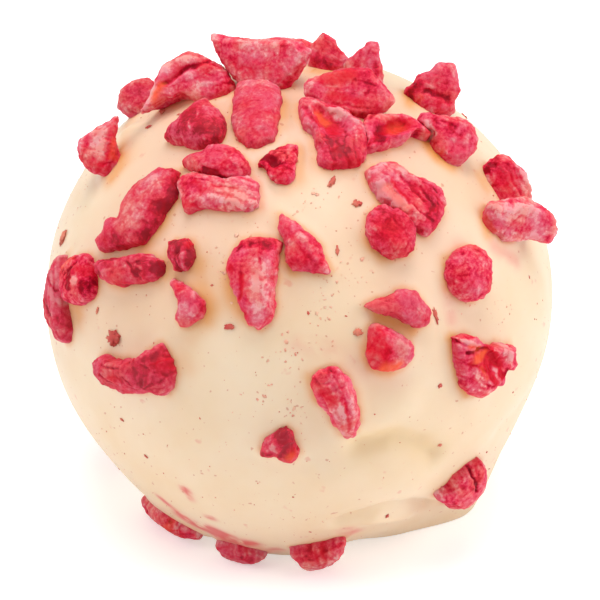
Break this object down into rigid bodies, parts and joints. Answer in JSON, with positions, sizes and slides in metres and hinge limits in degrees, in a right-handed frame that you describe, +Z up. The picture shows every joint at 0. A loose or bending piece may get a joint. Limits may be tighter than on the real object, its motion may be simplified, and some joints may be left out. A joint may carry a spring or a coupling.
{
  "type": "chocolate truffle",
  "caption": "Round hand-dipped truffle in a pale ivory coat with a small flat foot, dusted with broken bits of freeze-dried red berry.",
  "frame": {"origin": "middle of the flat foot, on the surface that the truffle rests on", "axes": "+Z up through the crown, -Y towards the front, +X to the right seen from the front"},
  "size_m": [0.0322, 0.0337, 0.0318],
  "materials": {
    "coat": "satin ivory chocolate coat",
    "drupelet": "dark wrinkled dried berry bead",
    "shard": "powdery broken dried berry wall",
    "strand": "pale fibrous dried berry flesh",
    "husk": "hollow translucent dried berry skin"
  },
  "bodies": {
    "root": {"coat": "coat", "drupelet_01": "drupelet", "drupelet_02": "drupelet", "drupelet_03": "drupelet", "drupelet_04": "drupelet", "drupelet_05": "drupelet", "drupelet_06": "drupelet", "drupelet_07": "drupelet", "drupelet_08": "drupelet", "drupelet_09": "drupelet", "drupelet_10": "drupelet", "drupelet_11": "drupelet", "drupelet_12": "drupelet", "drupelet_13": "drupelet", "husk_01": "husk", "husk_02": "husk", "husk_03": "husk", "husk_04": "husk", "husk_05": "husk", "husk_06": "husk", "husk_07": "husk", "husk_08": "husk", "husk_09": "husk", "husk_10": "husk", "husk_11": "husk", "shard_01": "shard", "shard_02": "shard", "shard_03": "shard", "shard_04": "shard", "shard_05": "shard", "shard_06": "shard", "shard_07": "shard", "shard_08": "shard", "shard_09": "shard", "shard_10": "shard", "shard_11": "shard", "shard_12": "shard", "shard_13": "shard", "shard_14": "shard", "shard_15": "shard", "shard_16": "shard", "shard_17": "shard", "shard_18": "shard", "shard_19": "shard", "shard_20": "shard", "shard_21": "shard", "shard_22": "shard", "shard_23": "shard", "shard_24": "shard", "strand_01": "strand", "strand_02": "strand", "strand_03": "strand", "strand_04": "strand", "strand_05": "strand", "strand_06": "strand", "strand_07": "strand", "strand_08": "strand", "strand_09": "strand", "strand_10": "strand", "strand_11": "strand"}
  },
  "joints": []
}
